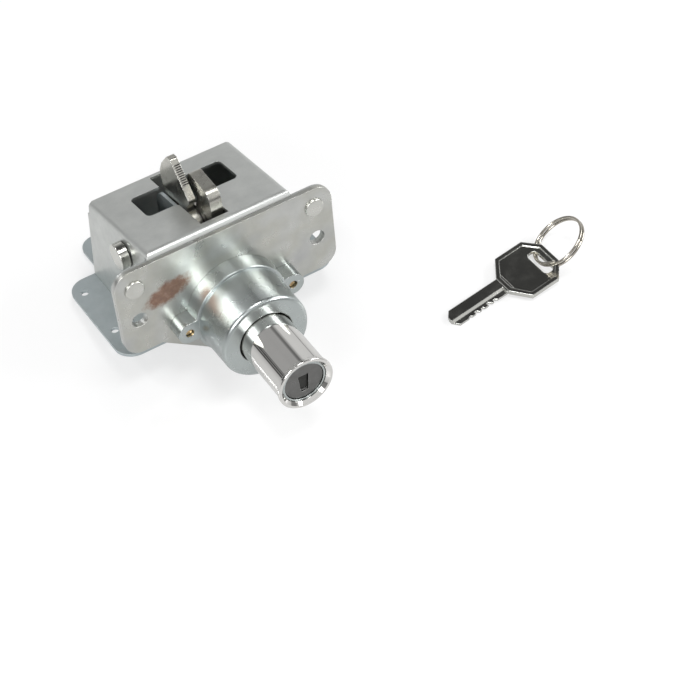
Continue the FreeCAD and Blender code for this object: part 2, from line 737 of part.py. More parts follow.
# Claws: two thick plates side by side on the pin, hooks towards each other
def claw(name, low, high, corners):
    arm = plate(name, "YZ_Plane", low, high, corners)
    boss = rod("X", "claw_boss", low, high, ("pivot_depth", "pivot_height"))
    bore = rod("X", "pin_radius+fit", f"{low}-1", f"{high}+1", ("pivot_depth", "pivot_height"))
    return cut(fuse(arm, boss), bore)


tail_face = "pivot_depth-tail_front"
tail_foot = "pivot_height-tail_reach"
node("front_claw", claw("front_claw_plate", "front_claw_near", "front_claw_near+front_claw_thick", (
    ("pivot_depth-front_heel", "pivot_height-front_heel_drop"),
    ("pivot_depth-front_back", "pivot_height+front_back_rise", "claw_round"),
    ("pivot_depth-front_back", "pivot_height+front_top_rise", "crown_round"),
    ("pivot_depth+front_brow", "pivot_height+front_brow_rise", "claw_round"),
    ("pivot_depth+front_tip", "pivot_height+front_tip_rise", "tip_round"),
    ("pivot_depth-front_throat", "pivot_height+front_throat_rise", "claw_round"),
    ("pivot_depth+front_neck", "pivot_height+front_neck_rise", "claw_round"),
    ("pivot_depth+front_hip", "pivot_height-front_hip_drop"),
    ("pivot_depth+tail_back", tail_foot, "tail_round"),
    (tail_face, tail_foot, "tail_round"),
    ("pivot_depth-front_waist", "pivot_height-front_waist_drop"))))
prong_rear = "pivot_depth+prong_back"
node("rear_claw", claw("rear_claw_plate", rear_claw_face, rear_claw_near, (
    ("pivot_depth-rear_heel", "pivot_height-rear_heel_drop"),
    ("pivot_depth-rear_neck", "pivot_height+rear_neck_rise", "claw_round"),
    ("pivot_depth-ramp_foot", "pivot_height+ramp_foot_rise", "rear_tip_round"),
    ("pivot_depth+ramp_top", "pivot_height+ramp_top_rise", "tip_round"),
    ("pivot_depth+rear_tip", "pivot_height+rear_tip_rise", "rear_tip_round"),
    ("pivot_depth+rear_shoulder", "pivot_height+rear_shoulder_rise", "claw_round"),
    ("pivot_depth+rear_back", "pivot_height+rear_back_rise", "hip_round"),
    ("pivot_depth+rear_hip", "pivot_height+rear_hip_rise", "hip_round"),
    (prong_rear, "pivot_height-prong_root_drop", "claw_round"),
    (prong_rear, "pivot_height-prong_drop", "tail_round"),
    ("pivot_depth+prong_front", "pivot_height-prong_drop", "tail_round"))))

# Release lever: a rocker behind the claws' tails; the slide pushes its foot back and its nose swings the
# rear claw's prong forward
nose_height = "lever_height+nose_rise"
nose_depth = f"{prong_rear}+nose_gap+nose_radius"
lever_plate = plate("lever_plate", "YZ_Plane", rear_claw_face, rear_claw_near, (
    ("lever_depth-lever_arm/2", "lever_height-lever_foot", "tail_round"),
    ("lever_depth+lever_arm/2", "lever_height-lever_foot", "tail_round"),
    ("lever_depth+lever_arm/2", "lever_height+lever_step"),
    (f"{nose_depth}+nose_radius", nose_height),
    (f"{nose_depth}-nose_radius", nose_height),
    ("lever_depth-lever_arm/2-lever_step", "lever_height+lever_step")))
nose = rod("X", "nose_radius", rear_claw_face, rear_claw_near, (nose_depth, nose_height))
hub = rod("X", "lever_hub", "-cheek_left+sheet+washer_gap", "cheek_right-sheet-washer_gap",
          ("lever_depth", "lever_height"))
hub_bore = rod("X", "lever_pin_radius+fit", "-cheek_left", "cheek_right", ("lever_depth", "lever_height"))
node("release_lever", cut(fuse(lever_plate, nose, hub), hub_bore))
lever_pin = rivet("lever_pin_radius*1.8", "lever_pin_radius", "-cheek_left", "cheek_right", "head_rise",
                  "XY_Plane")
node("lever_pin", group(moved(lever_pin, y="lever_depth", z="lever_height")))

# Release slide: the push rod drives it; one lug pushes the front claw's tail, the other the lever's foot
slide_top = "-slide_floor+sheet"
tail_lug = f"{tail_face}-tail_gap"
foot_lug = "lever_depth-lever_arm/2-push_gap"
slide_tab = block(("-slide_half_width", "slide_half_width"), ("slide_tab_front", "slide_tab_front+sheet"),
                  ("-slide_floor", "bracket_sill"))
slide_strip = block(("-slide_half_width", "slide_half_width"), ("slide_tab_front", tail_lug),
                    ("-slide_floor", slide_top))
slide_tongue = block((rear_claw_face, rear_claw_near), ("slide_tab_front", foot_lug),
                     ("-slide_floor", slide_top))
slide_guides = block(("-cheek_left-2.5", "cheek_right+2.5"),
                     ("bracket_front+2", "bracket_front+2+slide_guide"), ("-slide_floor", slide_top))
slide_lugs = [block(x_span, (f"{rear}-sheet", rear), ("-slide_floor", "0.4")) for x_span, rear in (
    (("front_claw_near", "front_claw_near+front_claw_thick"), tail_lug),
    ((rear_claw_face, rear_claw_near), foot_lug))]
node("release_slide", fuse(slide_tab, slide_strip, slide_tongue, slide_guides, *slide_lugs))


# Wire: a tube on an unbroken path of tangent arcs
def arc_from(start, heading, end):
    """Arc from start, leaving along heading, to end."""
    chord = end - start
    across = heading - chord * (heading.dot(chord) / chord.dot(chord))
    if across.Length < 1e-9:
        return Part.LineSegment(start, end).toShape()
    half = math.atan2(across.Length * chord.Length, heading.dot(chord)) if heading.dot(chord) else math.pi / 2
    rise = chord.Length / 2 * math.tan(half / 2)
    across.normalize()
    return Part.Arc(start, (start + end) / 2 + across * rise, end).toShape()


def biarc(start, heading, end, arrival):
    """Two tangent arcs between two points with given directions."""
    span = end - start
    both = heading + arrival
    spread = 2 * (1 - heading.dot(arrival))
    lean = span.dot(both)
    reach_out = (-lean + math.sqrt(lean ** 2 + spread * span.dot(span))) / spread
    meet = (start + heading * reach_out + end - arrival * reach_out) / 2
    first = arc_from(start, heading, meet)
    leaving = heading * -1 + (meet - start) * (2 * heading.dot(meet - start) / (meet - start).dot(meet - start))
    leaving.normalize()
    return [first, arc_from(meet, leaving, end)]


def coil(radius, pitch, turns, wire, leg=0.0):
    """Helical tube about X from X = 0, in quarter turns, with straight legs; prints its gap to itself."""
    steps = int(round(turns * 4))
    spots, headings = [], []
    for i in range(steps + 1):
        angle = i * math.pi / 2
        spots.append(Vector(pitch * i / 4, radius * math.cos(angle), radius * math.sin(angle)))
        heading = Vector(pitch / (2 * math.pi), -radius * math.sin(angle), radius * math.cos(angle))
        headings.append(heading.normalize())
    edges = []
    for i in range(steps):
        edges += biarc(spots[i], headings[i], spots[i + 1], headings[i + 1])
    begin = spots[0]
    if leg:
        begin = spots[0] - headings[0] * leg
        edges.insert(0, Part.LineSegment(begin, spots[0]).toShape())
        edges.append(Part.LineSegment(spots[-1], spots[-1] + headings[-1] * leg).toShape())
    path = Part.Wire(edges)
    profile = Part.Wire(Part.Circle(begin, headings[0], wire / 2).toShape())
    tube = path.makePipeShell([profile], True, False)
    print(f"coil: {turns} turns, least gap {pitch - wire:.2f}, volume {tube.Volume:.1f},"
          f" section times length {math.pi * wire ** 2 / 4 * path.Length:.1f}")
    return tube


def feature(name, shape):
    piece = doc.addObject("Part::Feature", name)
    piece.Shape = shape
    return piece


claw_coil_radius = size("pin_radius") + size("claw_wire") / 2 + 0.5
claw_pitch = size("claw_wire") + size("wire_gap")
claw_coil_length = size("claw_spring_turns") * claw_pitch
pivot = Vector(0, size("pivot_depth"), size("pivot_height"))
right_middle = (size("front_claw_near") + size("front_claw_thick") + size("cheek_right") - size("sheet")) / 2
left_start = -size("cheek_left") - size("wire_gap") - size("claw_wire") / 2 - claw_coil_length
right_start = right_middle - claw_coil_length / 2
for name, start in (("rear_claw_spring", left_start), ("front_claw_spring", right_start)):
    wound = coil(claw_coil_radius, claw_pitch, size("claw_spring_turns"), size("claw_wire"),
                 size("spring_leg"))
    node(name, feature(name, wound), place=Placement(pivot + Vector(start, 0, 0), Rotation()))

# Die-cast housing, screwed to the plate from behind through two lugs
housing = turned("housing", (
    ("0", "rod_radius+0.6"), ("0", "flange_radius"), ("-flange_depth", "flange_radius-0.4", "0.6"),
    ("-flange_depth", "housing_radius"), ("-housing_front", "housing_radius-0.3", "housing_edge"),
    ("-housing_front", "button_radius+fit+mouth_chamfer"),
    ("-housing_front+mouth_chamfer", "button_radius+fit"),
    ("-housing_front+collar_length", "button_radius+fit"), ("-housing_front+collar_length", "cavity_radius"),
    ("-housing_floor", "cavity_radius"), ("-housing_floor", "rod_radius+0.6")))
lugs = plate("lugs", "XZ_Plane", "-flange_depth", "0", (
    ("-lug_reach-lug_radius", "-lug_radius", "lug_radius-0.1"),
    ("lug_reach+lug_radius", "-lug_radius", "lug_radius-0.1"),
    ("lug_reach+lug_radius", "lug_radius", "lug_radius-0.1"),
    ("-lug_reach-lug_radius", "lug_radius", "lug_radius-0.1")))
lug_core = rod("Y", "flange_radius-1", "-flange_depth-1", "1", ("0", "0"))
lug_holes = [rod("Y", "screw_radius+fit", "-flange_depth-1", "1", (f"{sign}lug_reach", "0"))
             for sign in ("-", "")]
node("button_housing", cut(fuse(housing, cut(lugs, lug_core)), *lug_holes))
screw = [moved(turned("screw", (
    ("-flange_depth+screw_recess", "0"), ("-flange_depth+screw_recess", "screw_radius", "0.4"),
    (fold_back, "screw_radius"), (fold_back, "screw_head"), (f"{fold_back}+head_rise*2", "screw_head", "0.4"),
    (f"{fold_back}+head_rise*2", "0"))), x=f"{sign}lug_reach") for sign in ("-", "")]
node("housing_screws", group(*screw))

# Push button: drawn sleeve with a closed rear end and a flared lip, polished and chromed
sleeve_bore = "button_radius-button_wall"
node("push_button", turned("push_button", (
    ("-button_front", f"{sleeve_bore}+lip_chamfer"), ("-button_front", "button_radius+lip_rise", "0.5"),
    ("-button_front+lip_length", "button_radius+lip_rise", "0.3"),
    ("-button_front+lip_length+0.6", "button_radius"),
    ("-housing_front+collar_length+fit", "button_radius"),
    ("-housing_front+collar_length+fit", "button_radius-groove_depth"),
    ("-housing_front+collar_length+snap_ring_thick+3*fit", "button_radius-groove_depth"),
    ("-housing_front+collar_length+snap_ring_thick+3*fit", "button_radius"),
    ("-button_rear", "button_radius", "0.5"), ("-button_rear", "rod_radius+fit"),
    ("-button_rear-button_wall", "rod_radius+fit"), ("-button_rear-button_wall", sleeve_bore),
    ("-button_front+lip_chamfer", sleeve_bore))))
snap_ring = turned("snap_ring", (
    ("-housing_front+collar_length+2*fit", "button_radius-groove_depth+fit"),
    ("-housing_front+collar_length+2*fit", "cavity_radius-1"),
    ("-housing_front+collar_length+2*fit+snap_ring_thick", "cavity_radius-1"),
    ("-housing_front+collar_length+2*fit+snap_ring_thick", "button_radius-groove_depth+fit")))
ring_mouth = block(("-2.5", "2.5"), ("-housing_front", "0"), ("-cavity_radius", "0"))
node("button_clip", cut(snap_ring, ring_mouth))
rod_tip = "slide_tab_front-0.3"
node("push_rod", turned("push_rod", (
    ("-button_rear-button_wall-rod_head_thick", "0"),
    ("-button_rear-button_wall-rod_head_thick", "rod_head_radius", "0.4"),
    ("-button_rear-button_wall", "rod_head_radius"), ("-button_rear-button_wall", "rod_radius"),
    (rod_tip, "rod_radius", "1.2"), (rod_tip, "0"))))
return_length = size("button_rear") - size("housing_floor") - size("return_wire") - 0.2
return_pitch = return_length / size("return_turns")
spring_start = Vector(0, -size("button_rear") + size("return_wire") / 2 + 0.1, 0)
return_coil = coil(size("return_radius"), return_pitch, size("return_turns"), size("return_wire"))
node("return_spring", feature("return_spring", return_coil),
     place=Placement(spring_start, Rotation(Vector(0, 0, 1), 90)))

# Lock cylinder, fixed in the button, and the plug that turns in it with its five wafers
node("lock_cylinder", turned("lock_cylinder", (
    ("-cylinder_front", "face_radius+0.1"), ("-cylinder_front", f"{sleeve_bore}-fit/2", "0.3"),
    ("-cylinder_rear", f"{sleeve_bore}-fit/2"), ("-cylinder_rear", "plug_radius+fit"),
    ("-face_depth+face_thick+fit", "plug_radius+fit"), ("-face_depth+face_thick+fit", "face_radius+0.1"))))
plug_blank = turned("plug", (
    ("-face_depth", "0"), ("-face_depth", "face_radius", "0.3"), ("-face_depth+face_thick", "face_radius"),
    ("-face_depth+face_thick", "plug_radius"), ("-plug_rear", "plug_radius"), ("-plug_rear", "0")))
mouth = plate("keyway_mouth", "XZ_Plane", "-face_depth-1", "-face_depth+face_skin+0.1", (
    ("-keyway_foot/2", "-keyway_height*0.62"), ("keyway_foot/2", "-keyway_height*0.62"),
    ("keyway_mouth/2", "keyway_height*0.38"), ("-keyway_mouth/2", "keyway_height*0.38")))
pocket = block(("-keyway_mouth/2-0.7", "keyway_mouth/2+0.2"),
               ("-face_depth+face_skin", "-face_depth+face_skin+keyway_mouth+pocket_play"),
               ("-keyway_height/2-0.6", "keyway_height/2+0.6"))
channel = block(("-keyway_width/2", "keyway_width/2"), ("-face_depth+face_skin", "-plug_rear-2*cam_thick"),
                ("-keyway_height/2", "keyway_height/2"))
first_wafer = "(face_skin+keyway_mouth+pocket_play+pocket_web)"
BITTING = (3, 5, 2, 4, 1)
wafer_slots, wafer_set = [], []
for i in range(len(BITTING)):
    start = f"-face_depth+{first_wafer}+{i}*wafer_pitch"
    wafer_slots.append(block(("-wafer_half_width-0.1", "wafer_half_width+0.1"),
                             (f"{start}-0.1", f"{start}+wafer_thick+0.1"), ("-plug_radius-1", "plug_radius+1")))
    blank = block(("-wafer_half_width", "wafer_half_width"), (start, f"{start}+wafer_thick"),
                  ("-plug_radius-1", "plug_radius+1"))
    window = block(("-keyway_width/2-0.1", "keyway_width/2+0.1"), (f"{start}-1", f"{start}+wafer_thick+1"),
                   ("-keyway_height/2-0.2", "keyway_height/2+0.2"))
    rounding = rod("Y", "plug_radius-0.1", start, f"{start}+wafer_thick", ("0", "0"))
    wafer_set.append(cut(common(blank, rounding), window))
tail_bore = rod("Y", "1.1", "-plug_rear-2*cam_thick", "0", ("0", "0"))
node("lock_plug", cut(plug_blank, mouth, pocket, channel, tail_bore, *wafer_slots))
node("wafers", group(*wafer_set))

# Shutter: a leaf behind the keyway's mouth, on a fine upright pin
shutter_edge = "-keyway_mouth/2-0.5+shutter_pin_radius+knuckle_wall"
leaf_front = "-face_depth+face_skin+0.15"
leaf = block((shutter_edge, "keyway_mouth/2"), (leaf_front, f"{leaf_front}+shutter_thick"),
             ("-keyway_height/2-0.3", "keyway_height/2+0.3"))
pin_line = (shutter_edge, f"{leaf_front}+shutter_pin_radius+0.35")
knuckle = rod("Z", "shutter_pin_radius+0.05+knuckle_wall", "-keyway_height/2-0.3", "keyway_height/2+0.3",
              pin_line)
pin_bore = rod("Z", "shutter_pin_radius+0.05", "-keyway_height", "keyway_height", pin_line)
node("key_shutter", cut(fuse(leaf, knuckle), pin_bore))
node("shutter_pin", group(
    rod("Z", "shutter_pin_radius", "-keyway_height/2-0.6", "keyway_height/2+0.6", pin_line)))

# Cam on the plug's tail, held by a screw
cam_disc = rod("Y", "cam_radius", "-plug_rear", "-plug_rear+cam_thick", ("0", "0"))
cam_flats = [block((low, high), ("-plug_rear-1", "-plug_rear+cam_thick+1"), ("-cam_radius-1", "cam_radius+1"))
             for low, high in (("-cam_radius-1", "-3.6"), ("3.6", "cam_radius+1"))]
cam_bore = rod("Y", "1.1", "-plug_rear-1", "-plug_rear+cam_thick+1", ("0", "0"))
node("lock_cam", cut(cam_disc, *cam_flats, cam_bore))
node("cam_screw", turned("cam_screw", (
    ("-plug_rear-2*cam_thick+0.2", "0"), ("-plug_rear-2*cam_thick+0.2", "1.05"),
    ("-plug_rear+cam_thick", "1.05"), ("-plug_rear+cam_thick", "2.4"),
    ("-plug_rear+2*cam_thick", "2.4", "0.4"), ("-plug_rear+2*cam_thick", "0"))))

# Key: flat bow with a raised border and a slot, and a milled blade with cuts along one edge.
# Made lying flat with its shoulder at X = 0, the bow towards +X and the blade towards -X.
def bow_outline(inset):
    lean = f"({inset})*0.4"
    head = f"bow_length-bow_corner-{lean}"
    return (
        (inset, f"-bow_neck+{lean}"), (f"bow_shoulder+{lean}", f"-bow_half_width+{inset}"),
        (head, f"-bow_half_width+{inset}"),
        (f"bow_length-{inset}", f"-bow_end+{lean}"), (f"bow_length-{inset}", f"bow_end-{lean}"),
        (head, f"bow_half_width-{inset}"),
        (f"bow_shoulder+{lean}", f"bow_half_width-{inset}"), (inset, f"bow_neck-{lean}"))


bow = plate("bow", "XY_Plane", "0", "key_thick", bow_outline("0"))
fields = [plate("field", "XY_Plane", low, high, bow_outline("border_width"))
          for low, high in (("-1", "field_depth"), ("key_thick-field_depth", "key_thick+1"))]
bow_slot = plate("bow_slot", "XY_Plane", "-1", "key_thick+1", (
    ("bow_length-bow_bar-slot_width", "-slot_foot", "2"), ("bow_length-bow_bar", "-slot_foot", "2"),
    ("bow_length-bow_bar", "slot_head", "2"), ("bow_length-bow_bar-slot_width", "slot_head", "2")))
blade_low = "(key_thick-blade_thick)/2"
blade = plate("blade", "XY_Plane", blade_low, f"{blade_low}+blade_thick", (
    ("3", "-blade_half_width"), ("3", "blade_half_width"),
    ("-blade_length+tip_slope", "blade_half_width"), ("-blade_length", "blade_half_width-tip_top"),
    ("-blade_length", "-blade_half_width+tip_foot"), ("-blade_length+tip_slope", "-blade_half_width")))
notches = []
for i, code in enumerate(BITTING):
    along = f"-({first_wafer}+wafer_thick/2+{i}*wafer_pitch)"
    root = f"cut_least+{code}*cut_step"
    notches.append(plate("notch", "XY_Plane", "-1", "key_thick+1", (
        (f"{along}-cut_flat", f"-blade_half_width+{root}"),
        (f"{along}+cut_flat", f"-blade_half_width+{root}"),
        (f"{along}+2*cut_flat+{root}", "-blade_half_width-cut_flat"),
        (f"{along}-2*cut_flat-{root}", "-blade_half_width-cut_flat"))))
blade_top = f"{blade_low}+blade_thick"
upper_mill = plate("upper_mill", "YZ_Plane", "-blade_length-1", "-mill_edge", (
    ("-blade_half_width-1", f"{blade_top}-mill_depth"), ("-mill_edge-mill_slope", f"{blade_top}-mill_depth"),
    ("-mill_edge", blade_top), ("-mill_edge", "key_thick+1"), ("-blade_half_width-1", "key_thick+1")))
lower_mill = block(("-blade_length-1", "-mill_edge"), ("mill_edge", "2.5*mill_edge"),
                   ("-1", f"{blade_low}+mill_depth"))
node("key", cut(fuse(cut(bow, *fields), blade), bow_slot, upper_mill, lower_mill, *notches), "key")

# Split ring: two turns of wire
ring_pitch = size("ring_wire") + size("wire_gap")
node("split_ring", feature("split_ring", coil(size("ring_radius"), ring_pitch, 2, size("ring_wire"))), "ring")

doc.recompute()

# Rest on the table: the lock touches it with its lobe and with the end of its tongue
lobe_low = Vector(0, size("plate_thick"), -size("lobe_radius"))
tongue_fall = size("base_fall") * (size("tongue_rear") - size("plate_thick"))
tongue_low = Vector(0, size("tongue_rear"), -size("base_drop") - tongue_fall)
tongue_low += FALL.multVec(Vector(0, 0, -size("sheet")))
rest_tilt = math.degrees(math.atan2(tongue_low.z - lobe_low.z, tongue_low.y - lobe_low.y))
nose_up = Rotation(Vector(1, 0, 0), -rest_tilt)
lock_place = Placement(Vector(0, 0, -nose_up.multVec(lobe_low).z), nose_up)
key_pitch = Rotation(Vector(0, 1, 0), -size("key_pitch"))
key_tip = Vector(-size("blade_length"), 0, (size("key_thick") - size("blade_thick")) / 2)
key_drop = key_pitch.multVec(key_tip).z
key_place = Placement(Vector(size("key_across"), -size("key_ahead"), -key_drop),
                      Rotation(Vector(0, 0, 1), size("key_turn")).multiply(key_pitch))
ring_normal = Rotation(Vector(0, 0, 1), size("ring_heading")).multiply(
    Rotation(Vector(0, 1, 0), size("ring_tilt") - 90))
slot_middle = Vector(size("bow_length") - size("bow_bar") - size("slot_width") / 2,
                     (size("slot_head") - size("slot_foot")) / 2, size("key_thick") / 2)
ring_hang = Vector(size("ring_beyond"), size("ring_aside"), size("ring_rise"))
ring_place = Placement(key_place.multVec(slot_middle + ring_hang), ring_normal)
ring_place = ring_place.multiply(Placement(Vector(-ring_pitch, 0, 0), Rotation()))
PLACES = {"lock": lock_place, "key": key_place, "ring": ring_place}


def set_places(shift):
    for piece, body, local in NODES.values():
        piece.Placement = shift.multiply(PLACES[body]).multiply(local)


set_places(Placement())
doc.recompute()
box = FreeCAD.BoundBox()
for piece, body, local in NODES.values():
    box.add(piece.Shape.optimalBoundingBox(False))
centre = Placement(Vector(-box.Center.x, -box.Center.y, -box.ZMin), Rotation())
set_places(centre)
doc.recompute()

# Checks, then one file for each sub-part
failed = [item.Name for item in doc.Objects if "Invalid" in item.State or "Error" in item.State]
for name, (piece, body, local) in NODES.items():
    shape = piece.Shape
    if shape.isNull() or not shape.isValid() or not shape.Solids:
        failed.append(name)
if failed:
    raise RuntimeError("failed: " + ", ".join(failed))
os.makedirs("parts", exist_ok=True)
for name, (piece, body, local) in NODES.items():
    piece.Shape.exportStep(os.path.join("parts", name + ".step"))
    print(f"{name}: {len(piece.Shape.Solids)} solids, {piece.Shape.Volume:.1f} mm3")


def report(name, point, place):
    spot = centre.multiply(place).multVec(point)
    print(f"{name}: {spot.x:.4f} {spot.y:.4f} {spot.z:.4f}")


# Reference points in the finished frame
print(f"rest tilt {rest_tilt:.4f} degrees")
report("lock origin", Vector(), lock_place)
report("pivot", pivot, lock_place)
report("key origin", Vector(), key_place)
report("ring centre", Vector(ring_pitch, 0, 0), ring_place)
print("box", [round(value, 3) for value in (box.XLength, box.YLength, box.ZLength)])
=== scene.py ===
import bpy
import json
import math
from mathutils import Matrix
from mathutils import Vector


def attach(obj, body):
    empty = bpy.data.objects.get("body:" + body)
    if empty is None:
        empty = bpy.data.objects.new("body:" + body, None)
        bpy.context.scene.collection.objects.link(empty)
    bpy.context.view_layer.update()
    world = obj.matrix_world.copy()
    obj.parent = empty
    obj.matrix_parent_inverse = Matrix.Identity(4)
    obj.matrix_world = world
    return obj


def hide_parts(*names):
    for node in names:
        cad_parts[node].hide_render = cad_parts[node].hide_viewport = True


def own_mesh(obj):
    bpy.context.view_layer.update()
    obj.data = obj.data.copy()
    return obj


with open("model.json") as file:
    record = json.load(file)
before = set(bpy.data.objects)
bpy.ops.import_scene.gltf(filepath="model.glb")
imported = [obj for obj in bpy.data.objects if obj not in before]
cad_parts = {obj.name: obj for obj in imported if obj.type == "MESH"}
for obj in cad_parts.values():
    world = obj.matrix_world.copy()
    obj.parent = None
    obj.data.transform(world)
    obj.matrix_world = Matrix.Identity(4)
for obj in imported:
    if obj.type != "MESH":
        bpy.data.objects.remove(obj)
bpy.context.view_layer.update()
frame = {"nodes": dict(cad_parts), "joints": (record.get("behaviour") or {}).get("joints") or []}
nodes = frame["nodes"]
bpy.ops.object.select_all(action="DESELECT")

# The set: a white, slightly glossy table under soft lamps in a grey room, as for a catalogue picture.
# The camera stands before the lock, to the left of one who faces it, and looks down at it from above.
LENS_MM = 102.857
SENSOR_MM = 36
CAMERA_PLACE = (-0.305443, -0.496168, 0.716675)
CAMERA_RIGHT = Vector((0.84889, -0.52845, 0.01111))
CAMERA_TOP = Vector((0.41717, 0.68275, 0.59986))
camera_data = bpy.data.cameras.new("camera")
camera_data.lens = LENS_MM
camera_data.sensor_width = SENSOR_MM
camera_data.clip_end = 20
camera = bpy.data.objects.new("camera", camera_data)
bpy.context.scene.collection.objects.link(camera)
bpy.context.scene.camera = camera
camera_back = CAMERA_RIGHT.cross(CAMERA_TOP)
for row, (right, top, back) in enumerate(zip(CAMERA_RIGHT, CAMERA_TOP, camera_back)):
    camera.matrix_world[row][0] = right
    camera.matrix_world[row][1] = top
    camera.matrix_world[row][2] = back
camera.location = CAMERA_PLACE
bpy.context.scene.view_settings.view_transform = "Standard"


def linear(hex_colour):
    """An sRGB hex colour as the linear colour that a socket wants."""
    parts = [int(hex_colour[i:i + 2], 16) / 255 for i in (1, 3, 5)]
    return [part / 12.92 if part <= 0.04045 else ((part + 0.055) / 1.055) ** 2.4 for part in parts] + [1]


def add(tree, kind, sockets=None, stops=None, **settings):
    """Add a node. A socket takes a value or (node, output), and a colour ramp takes its stops."""
    made = tree.nodes.new(kind)
    for name, value in settings.items():
        setattr(made, name, value)
    for name, value in (sockets or {}).items():
        if isinstance(value, tuple) and isinstance(value[0], bpy.types.Node):
            tree.links.new(value[0].outputs[value[1]], made.inputs[name])
        else:
            made.inputs[name].default_value = value
    for i, (place, colour) in enumerate(stops or ()):
        element = made.color_ramp.elements[i] if i < 2 else made.color_ramp.elements.new(place)
        element.position = place
        element.color = linear(colour) if isinstance(colour, str) else (colour, colour, colour, 1)
    return made


# The room: mid grey walls, darker where they meet the table. A window with bars is on the left, a white
# screen far on the right, a light upper wall behind the camera, and the ceiling is dark on the right side.
# Each wall has its axis, the part of that axis over which it begins, and its greys by height.
world = bpy.data.worlds.new("grey_room")
bpy.context.scene.world = world
world.use_nodes = True
room = world.node_tree
room.nodes.clear()
direction = add(room, "ShaderNodeTexCoord")
split = add(room, "ShaderNodeSeparateXYZ", {"Vector": (direction, "Generated")})
WALLS = (
    ("Y", -0.1, -0.4, ((0.0, 0.16), (0.9, 0.12), (0.08, 0.22), (0.28, 0.26), (0.42, 0.80), (0.74, 0.80))),
    ("X", 0.34, 0.42, ((0.0, 0.25), (0.85, 0.05), (0.06, 0.70), (0.48, 0.74), (0.66, 0.66), (0.73, 0.05))),
    ("X", 0.12, 0.22, ((0.0, 0.10), (0.85, 0.05), (0.05, 0.36), (0.16, 0.72), (0.45, 0.46), (0.7, 0.10))),
    ("X", -0.12, -0.22, ((0.0, 0.10), (0.85, 0.36), (0.06, 0.06), (0.09, 0.42), (0.12, 0.05), (0.16, 0.04),
                         (0.19, 0.36), (0.22, 0.08), (0.27, 0.42), (0.6, 0.42))))
walls = add(room, "ShaderNodeValToRGB", {"Fac": (split, "Z")}, stops=(
    (0.0, 0.10), (0.85, 0.38), (0.05, 0.36), (0.16, 0.70), (0.45, 0.46)))
found = (walls, "Color")
for axis, start, end, stops in reversed(WALLS):
    wall = add(room, "ShaderNodeValToRGB", {"Fac": (split, "Z")}, stops=stops)
    part = add(room, "ShaderNodeMapRange", {0: (split, axis), 1: start, 2: end})
    found = (add(room, "ShaderNodeMix", {0: (part, 0), 6: found, 7: (wall, "Color")}, data_type="RGBA"), 2)
seen = add(room, "ShaderNodeLightPath")
blend = add(room, "ShaderNodeMix", {0: (seen, "Is Camera Ray"), 6: found, 7: (1, 1, 1, 1)},
            data_type="RGBA")
sky = add(room, "ShaderNodeBackground", {"Color": (blend, 2), "Strength": 1.0})
add(room, "ShaderNodeOutputWorld", {"Surface": (sky, "Background")})

# The table: a board faced with white laminate. To the camera and to mirrors it shows a part of plain
# white, dimmer in a mirror, and the rest is the board as the lamps light it, which keeps the shadows.
TABLE_RADIUS = 3
WHITE_SEEN = 0.6
WHITE_MIRRORED = 0.6
MIRROR_DIMMING = -0.4
bpy.ops.mesh.primitive_circle_add(vertices=64, radius=TABLE_RADIUS, fill_type="NGON", location=(0, 0, 0))
table = bpy.context.object
table.name = "table"
laminate = bpy.data.materials.new("white_laminate")
laminate.use_nodes = True
tree = laminate.node_tree
tree.nodes.clear()
gloss = add(tree, "ShaderNodeBsdfPrincipled", {
    "Base Color": linear("#f4f4f4"), "Roughness": 0.12, "Specular IOR Level": 0.6})
path = add(tree, "ShaderNodeLightPath")
dimmed = add(tree, "ShaderNodeMath", {0: (path, "Is Glossy Ray"), 1: MIRROR_DIMMING, 2: 1.0},
             operation="MULTIPLY_ADD")
glow = add(tree, "ShaderNodeEmission", {"Color": (1, 1, 1, 1), "Strength": (dimmed, 0)})
mirrored = add(tree, "ShaderNodeMath", {0: (path, "Is Glossy Ray"), 1: WHITE_MIRRORED},
               operation="MULTIPLY")
share = add(tree, "ShaderNodeMath", {0: (path, "Is Camera Ray"), 1: WHITE_SEEN, 2: (mirrored, 0)},
            operation="MULTIPLY_ADD")
both = add(tree, "ShaderNodeMixShader", {0: (share, 0), 1: (gloss, 0), 2: (glow, 0)})
add(tree, "ShaderNodeOutputMaterial", {"Surface": (both, 0)})
table.data.materials.append(laminate)
bpy.ops.object.select_all(action="DESELECT")

# Lamps: square soft boxes, each with its name, place, width in metres and power in watts. All point at the
# middle of the set, and stand where the side of the chrome sleeve doesn't mirror them.
AIM = Vector((0, 0, 0.03))
LAMPS = (
    ("back_left_softbox", (-0.76, 0.7, 0.88), 0.16, 3.2),
    ("right_softbox", (1.15, -0.25, 0.7), 0.6, 7.0),
    ("front_left_softbox", (-0.9, -0.8, 0.75), 0.6, 8.0),
    ("overhead_softbox", (0.1, -0.15, 1.5), 0.5, 8.0),
    ("front_right_softbox", (0.85, -0.75, 0.72), 0.25, 2.5))
for name, place, width, power in LAMPS:
    lamp_data = bpy.data.lights.new(name, "AREA")
    lamp_data.shape = "SQUARE"
    lamp_data.size = width
    lamp_data.energy = power
    lamp = bpy.data.objects.new(name, lamp_data)
    bpy.context.scene.collection.objects.link(lamp)
    lamp.location = place
    lamp.rotation_euler = (AIM - Vector(place)).to_track_quat("-Z", "Y").to_euler()

# The lock stands tilted on its base plate. Its own axes, across, back and up, start where the button's axis
# meets the plate's front face, and the claws' pivot is behind and above that place.
PIVOT_BACK_MM = 24.5
PIVOT_RISE_MM = 28
joints = {joint["name"]: joint for joint in frame["joints"]}
back_axis = Vector(joints["button_press"]["axis"])
up_axis = Vector((1, 0, 0)).cross(back_axis)
tilt = math.atan2(back_axis.z, back_axis.y)
lock_origin = (Vector(joints["front_claw_swing"]["pos_m"]) - PIVOT_BACK_MM / 1000 * back_axis
               - PIVOT_RISE_MM / 1000 * up_axis)


